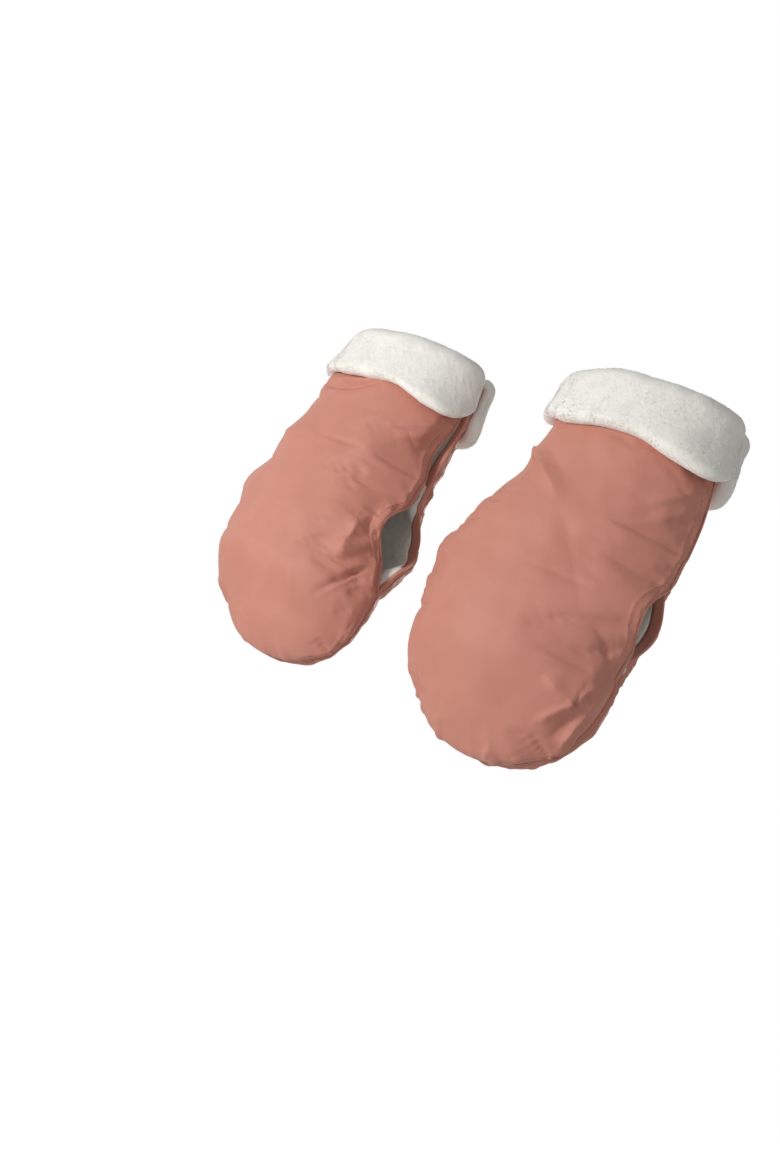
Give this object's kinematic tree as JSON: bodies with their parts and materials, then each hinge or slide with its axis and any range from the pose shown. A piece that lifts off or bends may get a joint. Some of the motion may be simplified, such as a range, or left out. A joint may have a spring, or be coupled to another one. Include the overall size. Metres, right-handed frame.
{
  "type": "stroller hand muffs",
  "caption": "Pair of padded mitten-shaped hand muffs that wrap round a stroller handlebar, with woven shell, plush lining, turned-over plush cuffs and snap-closed slotted sides",
  "frame": {"origin": "On the axis of the handlebar that the pair is worn on, midway between the two muffs.", "axes": "+X along the handlebar from the left muff to the right one as pictured, -Y the way the front panels face, +Z from the rounded tips to the cuffs."},
  "size_m": [0.444, 0.1067, 0.3165],
  "materials": {
    "rose_shell": "matte water-repellent plain weave",
    "plush": "short dense cream plush pile",
    "wadding": "lofted white polyester wadding",
    "nickel": "nickel-plated press stud"
  },
  "bodies": {
    "root": {"left_front_fold_shell": "rose_shell", "left_front_tip_shell": "rose_shell", "left_back_shell": "rose_shell", "left_front_fold_wadding": "wadding", "left_front_tip_wadding": "wadding", "left_back_wadding": "wadding", "left_front_fold_lining": "plush", "left_front_tip_lining": "plush", "left_back_lining": "plush", "left_back_cuff": "plush", "left_upper_outer_stud": "nickel", "left_upper_outer_post": "nickel", "left_upper_inner_stud": "nickel", "left_upper_inner_post": "nickel", "left_lower_outer_stud": "nickel", "left_lower_outer_post": "nickel", "left_lower_inner_stud": "nickel", "left_lower_inner_post": "nickel", "right_front_fold_shell": "rose_shell", "right_front_tip_shell": "rose_shell", "right_back_shell": "rose_shell", "right_front_fold_wadding": "wadding", "right_front_tip_wadding": "wadding", "right_back_wadding": "wadding", "right_front_fold_lining": "plush", "right_front_tip_lining": "plush", "right_back_lining": "plush", "right_back_cuff": "plush", "right_upper_outer_stud": "nickel", "right_upper_outer_post": "nickel", "right_upper_inner_stud": "nickel", "right_upper_inner_post": "nickel", "right_lower_outer_stud": "nickel", "right_lower_outer_post": "nickel", "right_lower_inner_stud": "nickel", "right_lower_inner_post": "nickel"},
    "left_flap": {"left_front_flap_shell": "rose_shell", "left_front_flap_wadding": "wadding", "left_front_flap_lining": "plush", "left_front_cuff": "plush", "left_upper_outer_cap": "nickel", "left_upper_outer_socket": "nickel", "left_upper_inner_cap": "nickel", "left_upper_inner_socket": "nickel", "left_lower_outer_cap": "nickel", "left_lower_outer_socket": "nickel", "left_lower_inner_cap": "nickel", "left_lower_inner_socket": "nickel"},
    "right_flap": {"right_front_flap_shell": "rose_shell", "right_front_flap_wadding": "wadding", "right_front_flap_lining": "plush", "right_front_cuff": "plush", "right_upper_outer_cap": "nickel", "right_upper_outer_socket": "nickel", "right_upper_inner_cap": "nickel", "right_upper_inner_socket": "nickel", "right_lower_outer_cap": "nickel", "right_lower_outer_socket": "nickel", "right_lower_inner_cap": "nickel", "right_lower_inner_socket": "nickel"}
  },
  "joints": [
    {"name": "left_flap_hinge", "type": "hinge", "parent": "root", "child": "left_flap", "pos_m": [-0.1275, 0, -0.058], "axis": [1, 0, 0], "range_deg": [0, 60], "deforming": ["left_front_fold_shell", "left_front_fold_wadding", "left_front_fold_lining"]},
    {"name": "right_flap_hinge", "type": "hinge", "parent": "root", "child": "right_flap", "pos_m": [0.1275, 0, -0.058], "axis": [1, 0, 0], "range_deg": [0, 60], "deforming": ["right_front_fold_shell", "right_front_fold_wadding", "right_front_fold_lining"]}
  ]
}
